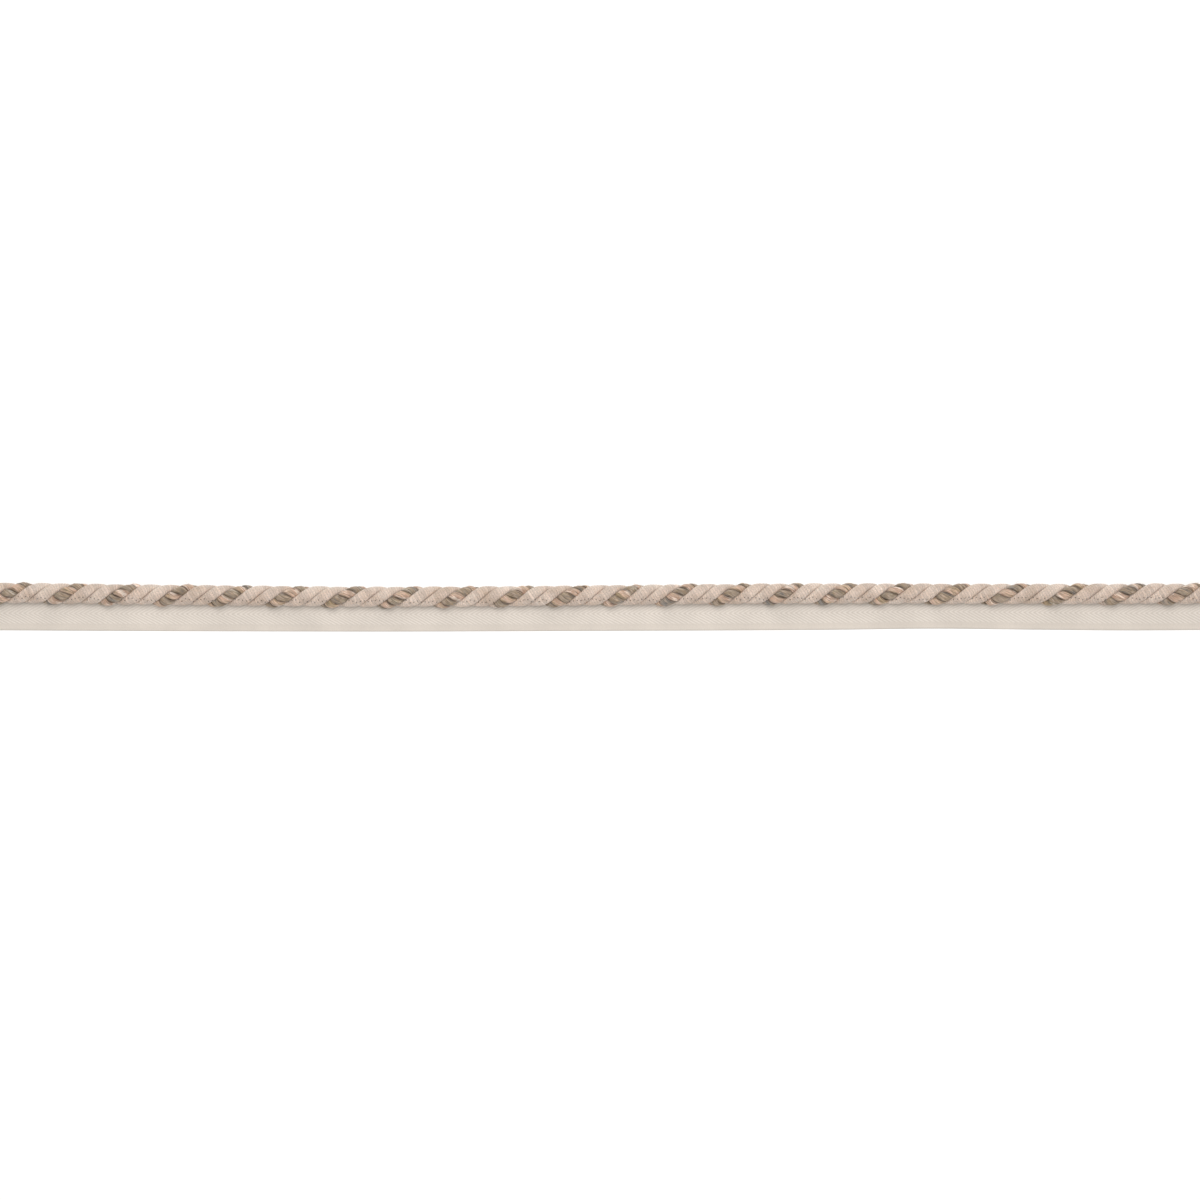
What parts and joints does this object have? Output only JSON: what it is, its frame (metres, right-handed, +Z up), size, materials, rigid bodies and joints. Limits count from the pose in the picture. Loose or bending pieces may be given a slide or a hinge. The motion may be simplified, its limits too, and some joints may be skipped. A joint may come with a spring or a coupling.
{
  "type": "flanged cord trim",
  "caption": "Cut length of twisted cord trim: two plain wrapped strands and a mottled slub strand, sewn along a flat herringbone tape.",
  "frame": {"origin": "mid length of the trim, on the underside of the tape, straight below the axis of the cord", "axes": "+X along the cord, the tape reaches out towards -Y, +Z up from the surface that the tape lies on"},
  "size_m": [0.52, 0.021, 0.0103],
  "materials": {
    "mixed_yarn": "fuzzy two-ply slub yarn in greys and tans",
    "cream_yarn": "smooth matte wrapped cotton yarn",
    "woven_tape": "matte herringbone twill tape"
  },
  "bodies": {
    "root": {"strand_mixed": "mixed_yarn", "strand_cream_a": "cream_yarn", "strand_cream_b": "cream_yarn", "tape": "woven_tape"}
  },
  "joints": []
}
